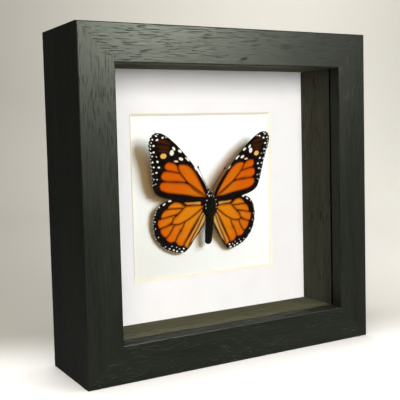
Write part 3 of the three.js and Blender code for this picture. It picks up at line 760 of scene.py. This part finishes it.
def wing_markings(flat, loop, vein, cells, trim, spots, browns, fleck_from, fleck_to):
    """The numbers that colour a wing: depth inside the nearest cell, with its tone, depth inside the
    nearest pale spot with its yellowness, and how brown the ground is. Cells are widened by trim, and
    more beside the veins, which then cut them apart. Short white flecks of the fringe lie along the
    loop between the two shares of its length."""
    depths = np.stack([depth_inside(flat, smooth(outline, 5, closed=True)) for _, _, outline in cells])
    if spots is HINDWING_SPOTS:
        depths = np.minimum(depths, -depth_in_spot(flat, SCENT_SPOT))
    owner = depths.argmax(0)
    cell = depths.max(0) + trim + CELL_SPREAD * np.exp(-(vein / SPREAD_REACH) ** 2)
    cell = np.minimum(cell, vein - VEIN_WIDTH)
    tone = np.zeros(len(flat))
    radius = np.hypot(flat[:, 0], flat[:, 1])
    for number, (near, far, outline) in enumerate(cells):
        corner = np.hypot(*np.array(outline, float).T)
        share = np.clip((radius - corner.min()) / (corner.max() - corner.min()), 0, 1)
        tone = np.where(owner == number, near + (far - near) * share, tone)
    start, stop = int(FLECK_SPOTS * fleck_from), int(FLECK_SPOTS * fleck_to)
    flecks = [(x, y, *FLECK, 0.0) for x, y in evenly(loop, FLECK_SPOTS)[start:stop:FLECK_EVERY]]
    pale = spots + flecks
    marks = np.stack([depth_in_spot(flat, spot) for spot in pale])
    yellow = np.array([(*spot, 0.0)[5] for spot in pale])[marks.argmax(0)]
    brown = np.clip(1 - radius / 6, 0, 1) * 0.2
    for outline in browns:
        inside = depth_inside(flat, smooth(outline, 5, closed=True))
        brown = np.maximum(brown, np.clip(inside / 1.2 + 0.3, 0, 0.9))
    return {"cell": cell, "tone": tone, "spot": marks.max(0), "yellow": yellow, "brown": brown}


def wing(name, outline, tip_start, tip_end, size, scallop, cells, trim, spots, browns, veins, flecks,
         bow, fan_from, setting, material, slot):
    """A wing as a closed sheet: a grid over its outline, bowed across its chord, sagging between the
    veins, ridged along them, and as thick as membrane and scales. Its streaks fan out from a point
    2 mm inside the root and fan_from below it: the angle about that point, and the distance from the
    root in steps of 20 mm."""
    rows, columns = size
    flat, loop = wing_patch(outline, tip_start, tip_end, rows, columns, scallop)
    s = np.repeat(np.linspace(0, 1, rows), columns)
    t = np.tile(np.linspace(0, 1, columns), rows)
    vein = np.stack([distance_to_line(flat, smooth(line, 6)) for line in veins]).min(0)
    fields = wing_markings(flat, loop, vein, cells, trim, spots, browns, *flecks)
    taper = 1 - VEIN_THINNING * np.clip(np.hypot(*flat.T) / WING_LENGTH, 0, 1)
    ridge = VEIN_RIDGE * taper * np.exp(-(vein / VEIN_WIDTH) ** 2)
    sag = SAG * (1 - np.exp(-(vein / SAG_REACH) ** 2))
    middle = WING_MIDDLE - bow * 4 * t * (1 - t) * s + sag
    side = setting[0]
    count = rows * columns
    thick = MEMBRANE + ridge
    front = np.stack([side * flat[:, 0], middle - thick, flat[:, 1]], 1)
    back = np.stack([side * flat[:, 0], middle + thick, flat[:, 1]], 1)
    index = np.arange(count).reshape(rows, columns)
    rim = np.concatenate([index[0, :-1], index[:-1, -1], index[-1, :0:-1], index[:0:-1, 0]])
    after = np.roll(rim, -1)
    faces = np.vstack([
        grid_faces(rows, columns), grid_faces(rows, columns)[:, ::-1] + count,
        np.stack([rim, rim + count, after + count, after], 1),
    ])
    points = set_in_frame(np.vstack([front, back]), wing_place(*setting))
    piece = make_piece(name + "_scaled", points, faces.tolist(), material, [name])
    for field, values in fields.items():
        write_field(piece, field, np.tile(values, 2))
    rays = piece.data.uv_layers.new(name="rays")
    corners = np.empty(len(piece.data.loops), np.int32)
    piece.data.loops.foreach_get("vertex_index", corners)
    centre = flat[corners % count]
    angle = np.arctan2(centre[:, 1] + fan_from, centre[:, 0] + 2.0)
    rays.data.foreach_set("uv", np.stack([angle, np.hypot(*centre.T) / 20], 1).astype(np.float32).ravel())


FOREWING = dict(
    outline=FOREWING_OUTLINE, tip_start=8, tip_end=11, size=(230, 130), scallop=0.12, trim=0.0, bow=0.45,
    cells=FOREWING_CELLS, spots=FOREWING_SPOTS, browns=BROWN_CELLS, veins=FOREWING_VEINS,
    flecks=(0.44, 0.70), fan_from=0.0, material=forewing_scales, slot="forewing_scales")
HINDWING = dict(
    outline=HINDWING_OUTLINE, tip_start=6, tip_end=13, size=(170, 170), scallop=0.45, trim=0.08, bow=0.3,
    cells=HINDWING_CELLS, spots=HINDWING_SPOTS, browns=[], veins=HINDWING_VEINS,
    flecks=(0.30, 0.70), fan_from=1.0, material=hindwing_scales, slot="hindwing_scales")
# Each setting is the side, the degrees raised, how far slid and laid behind, and the degrees twisted.
wing("forewing_left", setting=(-1, 0, 0, 0, FOREWING_TWIST), **FOREWING)
wing("forewing_right", setting=(1, -1, 0, 0, FOREWING_TWIST), **FOREWING)
wing("hindwing_left", setting=(-1, 0, 0, HINDWING_BEHIND, 0), **HINDWING)
wing("hindwing_right", setting=(1, 1.8, -0.9, HINDWING_BEHIND, 0), **HINDWING)


# ---------------------------------------------------------------- body

BODY_DEPTH = 0.9  # how far its middle line lies behind the wing roots
WAIST, TAIL = -5.0, -24.3
HEAD = np.array([-1.1, BODY_DEPTH, 4.2])
THORAX = np.array([0.2, BODY_DEPTH, -2.4])
THORAX_HALF = np.array([2.85, 2.55, 5.5])
HEAD_HALF = np.array([1.7, 1.5, 1.8])


def abdomen():
    """The abdomen: a ring carried from waist to tip whose radius is a long bulge, times the square root
    of one minus a power at the tip, less a rounded groove where each ring meets the next."""
    waist_radius, bulge, ring_length, groove = 1.72, 0.36, 2.35, 0.15
    z = np.concatenate([np.linspace(WAIST, -23.4, 150), np.linspace(-23.45, -24.25, 12)])
    share = (z - WAIST) / (TAIL - WAIST)
    radius = waist_radius + bulge * np.sin(np.pi * np.clip(share * 0.92 + 0.08, 0, 1)) + 0.12 * share
    radius *= np.sqrt(np.clip(1 - np.clip((share - 0.9) / 0.1, 0, 1) ** 2.2, 0.004, 1))
    ring = (WAIST - z) / ring_length
    radius -= groove * np.exp(-((ring - np.round(ring)) / 0.09) ** 2) * (share < 0.93)
    sideways, sunk = 0.12 * np.sin(share * 3), 0.35 * share ** 2
    path = np.stack([sideways, BODY_DEPTH + sunk, z], 1)
    return tube(path, radius * 1.02, radius * 0.98, 40)


def thorax():
    """The thorax: an ellipsoid, pinched a little behind the wing roots and humped over the wing muscles."""
    angle = np.linspace(0.05, np.pi - 0.05, 44)
    z = THORAX[2] - THORAX_HALF[2] * np.cos(angle)
    pinch, hump = 0.08 * np.exp(-((z + 5.4) / 0.8) ** 2), 0.05 * np.exp(-((z + 1.2) / 1.6) ** 2)
    swell = np.sin(angle) * (1 - pinch + hump)
    path = np.stack([0 * z + THORAX[0], 0 * z + THORAX[1], z], 1)
    return tube(path, THORAX_HALF[0] * swell, THORAX_HALF[1] * swell, 40, cover=0.01)


def coil():
    """The drinking tube: a flat spiral under the head, its radius shrinking evenly with the angle."""
    outer, inner, half_turns = 0.85, 0.15, 5
    angle = np.linspace(0, half_turns * np.pi, 90)
    radius = outer - (outer - inner) * angle / angle[-1]
    turns = np.stack([0 * angle, radius * np.cos(angle), radius * np.sin(angle)], 1)
    return tube(HEAD + (0, 0.9, 1.6) + turns, 0.08, 0.1, 8, depth_way=(1, 0, 0))


def bent_limb(points, thick_from, thick_to):
    """A jointed limb: a round tube along a smooth curve that narrows evenly to its tip."""
    path = smooth(points, 6)
    width = np.linspace(thick_from, thick_to, len(path))
    return tube(path, width, width, 8, depth_way=(0.2, 1, 0.1), cover=thick_to)


def spikes(roots, ways, lengths, thickness):
    """Hairs: each is a three-sided spike of seven points, a triangle at the root, one at 0.6 of its
    length that is about half as wide and bent back a little, and a tip bent three times as far."""
    ways = unit(ways)
    across = unit(np.cross(ways, [0.31, 0.85, 0.42]))
    other = np.cross(ways, across)
    along = ways * lengths[:, None]
    bend = np.array([0, 0, -0.12]) * lengths[:, None]
    corners = [np.cos(angle) * across + np.sin(angle) * other for angle in (0, 2 * np.pi / 3, 4 * np.pi / 3)]
    low = [roots + thickness * corner for corner in corners]
    high = [roots + 0.6 * along + bend + 0.55 * thickness * corner for corner in corners]
    tips = roots + along + 3 * bend
    points = np.stack(low + high + [tips], 1).reshape(-1, 3)
    base = (np.arange(len(roots)) * 7)[:, None]
    quads = np.vstack([base + np.array(q) for q in ((0, 1, 4, 3), (1, 2, 5, 4), (2, 0, 3, 5))])
    tris = np.vstack([base + np.array(q) for q in ((3, 4, 6), (4, 5, 6), (5, 3, 6), (0, 2, 1))])
    return points, quads.tolist() + tris.tolist()


def hair_on(centre, half, count, length, lean):
    """Hair roots spread over an ellipsoid by a seeded draw of directions; each hair stands along the
    surface's normal and leans by a fixed vector and a random one."""
    way = unit(RANDOM.normal(size=(count, 3)))
    lengths = length * RANDOM.uniform(0.55, 1.25, count)
    ways = unit(way / half) + np.array(lean) + 0.35 * RANDOM.normal(size=(count, 3))
    rooted, thickness = 0.97, 0.045  # rooted just under the surface
    return spikes(centre + way * half * rooted, ways, lengths, thickness)


def pushed_out(points, centre, half, lift):
    """Each point moved along the line from the ellipsoid's centre until it is on the surface, plus a lift."""
    way = unit((points - centre) / half)
    return centre + way * half + way * lift


# Tufts of white scales: out, up, radius, and whether on the head (1) or the thorax (0).
WHITE_TUFTS = [
    (-1.95, 5.1, 0.36, 1), (-0.3, 5.1, 0.28, 1), (-1.6, 3.2, 0.5, 1), (-2.4, 4.0, 0.34, 1),
    (-1.1, 5.75, 0.26, 1), (-0.4, 3.4, 0.3, 1), (-1.7, 1.9, 0.3, 0), (0.9, 2.1, 0.26, 0),
    (-2.2, 0.2, 0.3, 0), (2.3, 0.4, 0.3, 0),
    (-2.7, -2.0, 0.34, 0), (2.9, -2.0, 0.34, 0), (-2.5, -3.7, 0.26, 0), (2.8, -3.6, 0.26, 0),
]

def on_body(name, parts, material, replaced=()):
    """One piece of the specimen, from shapes in the butterfly's own frame."""
    points, faces = joined(parts)
    make_piece(name, set_in_frame(points), faces, material, replaced)


on_body("body_scaled", [thorax(), abdomen(), ball(HEAD, *HEAD_HALF)], black_cuticle, ["butterfly_body"])
eye_at = [HEAD + np.array([side * 1.32, -0.15, 0.35]) for side in (-1, 1)]
on_body("eyes", [ball(centre, 0.78, 1.02, 1.12, 24, 18) for centre in eye_at], eye_surface())

mouth = []
for side in (-1, 1):
    palp = [HEAD + (side * 0.4, 0.5, 1.1), HEAD + (side * 0.45, 0.0, 1.9), HEAD + (side * 0.4, -0.5, 2.5)]
    mouth.append(bent_limb(palp, 0.34, 0.12))
on_body("palps_and_tongue", mouth + [coil()], black_cuticle)

# How high up the body each pair of legs has its hips, knees and feet.
LEG_HEIGHTS = ((0.6, -0.6, 2.4), (-2.6, -3.4, -0.4), (-4.6, -5.8, -4.0))
legs = []
for hip, knee, foot in LEG_HEIGHTS:
    for side in (-1, 1):
        out = THORAX[0] + side * np.array([0.9, 2.9, 2.3, 2.7])
        joints = np.stack([out, [2.9, 4.1, 4.9, 5.3], [hip, knee, foot - 1.5, foot - 4.2]], 1)
        legs.append(bent_limb(joints, 0.24, 0.09))
on_body("legs", legs, black_cuticle)

thorax_hair = hair_on(THORAX, THORAX_HALF, 2600, 0.85, (0, -0.1, -0.7))
head_hair = hair_on(HEAD, HEAD_HALF, 500, 0.5, (0, -0.2, -0.2))
on_body("body_hair", [thorax_hair, head_hair], black_hair)

tufts = []
for out, up, radius, on_head in WHITE_TUFTS:
    centre, half, lift = (HEAD, HEAD_HALF, 0.25) if on_head else (THORAX, THORAX_HALF, 0.5)
    share = ((out - centre[0]) / half[0]) ** 2 + ((up - centre[2]) / half[2]) ** 2
    front = -half[1] * math.sqrt(max(0.02, 1 - share))
    spot = pushed_out(np.array([[out, centre[1] + front, up]]), centre, half, lift)[0]
    tufts.append(ball(spot, radius, radius * 0.7, radius, 12, 9))
on_body("white_tufts", tufts, white_scales())

# An antenna thins evenly, is ringed by a rectified sine, swells into a club and rounds off at the tip.
for name, knots in ANTENNAE.items():
    path = evenly(smooth(knots, 24), 90)
    share = np.linspace(0, 1, 90)
    ringed = 0.012 * np.abs(np.sin(share * 140))
    club = 0.3 * np.exp(-((share - 0.955) / 0.05) ** 2)
    round_off = np.sqrt(np.clip((1.012 - share) / 0.03, 0.05, 1))
    width = (0.15 - 0.03 * share + ringed + club) * round_off
    on_body(name + "_ringed", [tube(path, width, width, 12, cover=0.02)], black_cuticle, [name])


# ---------------------------------------------------------------- studio

def studio_paper():
    """Background paper, matt: white where it lies under the object; behind it, painted shade turns it a warm
    grey, darker towards the left."""
    material, tree = blank("studio_paper_painted_shade")
    cloud = mottle(tree, 400)
    place = add(tree, "ShaderNodeTexCoord", out="Object")
    sideways = add(tree, "ShaderNodeSeparateXYZ", {0: place})
    back = add(tree, "ShaderNodeSeparateXYZ", {0: place}, out=1)
    # Painted shade: behind the object the paper turns a warm grey, darker towards the left.
    behind = summed(tree, back, (sideways, 0.38))
    paper = coats(tree, "#f8f8f6", (cloud, "#fbfbf9"))
    low = coats(tree, "#9d9b93", (sideways, -0.1, 0.3, "#d2d1cc"))
    high = coats(tree, "#999790", (sideways, -0.15, 0.9, "#f0efe8"))
    grey = coats(tree, low, (back, 0.0, 0.7, high))
    colour = coats(tree, paper, (behind, -0.03, 0.065, grey))
    return finished(material, {"Base Color": colour, "Roughness": 0.95, "Specular IOR Level": 0.1})


def sweep():
    """Floor and backdrop in one sheet: flat to the foot of the wall, a quarter circle, and straight up."""
    radius, foot, front, width, height = 350.0, 650.0, -2500.0, 2600.0, 1500.0
    turn = np.linspace(0, np.pi / 2, 24)
    y = np.concatenate([[front], foot + radius * np.sin(turn), [foot + radius]])
    z = np.concatenate([[0.0], radius - radius * np.cos(turn), [height]])
    x = np.linspace(-width, width, 5)
    points = np.stack([np.tile(x, len(y)), np.repeat(y, 5), np.repeat(z, 5)], 1)
    sheet = new_object("studio_sweep", points, grid_faces(len(y), 5).tolist(), studio_paper())
    sheet.visible_glossy = sheet.visible_transmission = False  # so that the floor lays no veil over the glass


def lamp(name, azimuth, elevation, distance, width, height, power, colour="#fffcfa", glossy=False,
         aim=(0, 0, 0.085), onto=(), spare=()):
    """A soft box that faces a point from an azimuth right of the frame's front and an elevation, in
    degrees. Where onto names some pieces, it lights only those, and it doesn't light those in spare."""
    data = bpy.data.lights.new(name, "AREA")
    data.shape = "RECTANGLE"
    data.size, data.size_y = width, height
    data.energy = power
    data.color = linear(colour)[:3]
    box = bpy.data.objects.new(name, data)
    bpy.context.scene.collection.objects.link(box)
    a, e = math.radians(azimuth), math.radians(elevation)
    way = Vector((math.sin(a) * math.cos(e), -math.cos(a) * math.cos(e), math.sin(e)))
    box.location = Vector(aim) + way * distance
    box.rotation_mode = "QUATERNION"
    box.rotation_quaternion = way.to_track_quat("Z", "Y")
    box.visible_transmission = False
    box.visible_glossy = glossy
    if onto or spare:
        linked = bpy.data.collections.new(name + "_pieces")
        for piece in list(onto) + list(spare):
            linked.objects.link(piece)
        for entry in linked.collection_objects:
            entry.light_linking.link_state = "EXCLUDE" if spare else "INCLUDE"
        box.light_linking.receiver_collection = linked


def surroundings():
    """Dim at the level of the lens and pale overhead, like a room under a white ceiling; the lens
    itself sees a plain pale grey past the paper's edge."""
    world = bpy.data.worlds.new("studio_room")
    bpy.context.scene.world = world
    world.use_nodes = True
    world.cycles_visibility.transmission = False
    tree = world.node_tree
    tree.nodes.clear()
    way = add(tree, "ShaderNodeTexCoord", out="Generated")
    height = add(tree, "ShaderNodeSeparateXYZ", {0: way}, out=2)
    ceiling = add(tree, "ShaderNodeMapRange", {0: height, 1: 0.1, 2: 0.95, 3: 0.03, 4: 0.35}, **SOFT)
    floor_glow = add(tree, "ShaderNodeMapRange", {0: height, 1: -0.34, 2: -0.1, 3: 0.24, 4: 0.0}, **SOFT)
    glow = add(tree, "ShaderNodeMath", {0: ceiling, 1: floor_glow}, operation="ADD")
    seen = add(tree, "ShaderNodeLightPath", out="Is Camera Ray")
    glow = add(tree, "ShaderNodeMix", {0: seen, 2: glow, 3: 0.62})
    sky = add(tree, "ShaderNodeBackground", {"Color": "#f3f3ee", "Strength": glow})
    add(tree, "ShaderNodeOutputWorld", {"Surface": sky})


sweep()
surroundings()
rails = [piece for name, piece in frame["nodes"].items() if name.startswith("frame_rail")]
strips = [piece for name, piece in frame["nodes"].items() if name.startswith("spacer")]
card_and_pad = [frame["nodes"][name] for name in ("backing_card", "mount_pad")]
specimen = [piece for piece in bpy.data.objects if piece.name.endswith("_scaled")]
specimen += [bpy.data.objects[name] for name in (
    "eyes", "palps_and_tongue", "legs", "body_hair", "white_tufts",
    "antenna_left_ringed", "antenna_right_ringed")]
# Degrees right of the front, degrees up, metres away, width and height in metres, and watts.
lamp("key_light", -3, 8.5, 1.2, 0.42, 0.66, 6.7, "#fffaf4", spare=card_and_pad)
lamp("fill_light", -32, 8, 1.2, 0.6, 0.6, 7.5, "#fff9f0", spare=card_and_pad)
lamp("mat_light", -6, 12.5, 1.2, 0.55, 0.67, 11.5, "#f3f2fb", onto=[frame["nodes"]["window_mat"]])
lamp("side_light", 27, 6, 1.2, 0.28, 0.36, 9.4, "#f4f6ff", onto=specimen)
lamp("card_light", 22, 24, 0.25, 0.16, 0.12, 1.07, "#f1f8ff", onto=card_and_pad)
lamp("card_fill_light", -20, 8, 1.2, 0.6, 0.6, 4.4, "#ffd68c", onto=card_and_pad)
lamp("sheen_light", 25, 18.5, 1.2, 0.22, 0.34, 7.8, glossy=True, onto=rails + [glue])
wood_and_floor = rails + strips + [glue, bpy.data.objects["studio_sweep"]]
lamp("overhead_light", 0, 84, 1.2, 0.6, 0.6, 15.5, onto=wood_and_floor)
lamp("backdrop_light", 0, 35, 0.9, 0.6, 0.5, 1.8, aim=(0.9, 1.0, 0.25))
lamp("back_light", 165, 35, 0.85, 0.4, 0.4, 1.6, glossy=True)

CAMERA_PLACE = (-0.20748, -0.34321, 0.11933)
CAMERA_TURN = (-29.28, -3.91, -1.45)  # degrees to the left of straight ahead, upwards, and anticlockwise
FOCAL_LENGTH = 747.5 / 400  # in widths of the picture
camera_data = bpy.data.cameras.new("camera")
camera_data.sensor_width = 36.0
camera_data.lens = FOCAL_LENGTH * camera_data.sensor_width
camera_data.shift_x = 0.0265
camera_data.shift_y = -0.0464
camera_data.clip_start = 0.01
camera_data.clip_end = 20.0
camera = bpy.data.objects.new("camera", camera_data)
bpy.context.scene.collection.objects.link(camera)
yaw, pitch, roll = [math.radians(turn) for turn in CAMERA_TURN]
forward = Vector((math.sin(-yaw) * math.cos(pitch), math.cos(-yaw) * math.cos(pitch), math.sin(pitch)))
level = Vector((math.cos(-yaw), -math.sin(-yaw), 0))
upward = level.cross(forward)
right = math.cos(roll) * level + math.sin(roll) * upward
top = math.cos(roll) * upward - math.sin(roll) * level
turned = Matrix((right, top, -forward)).transposed().to_4x4()
camera.matrix_world = Matrix.Translation(CAMERA_PLACE) @ turned
bpy.context.scene.camera = camera
bpy.context.scene.view_settings.view_transform = "Standard"
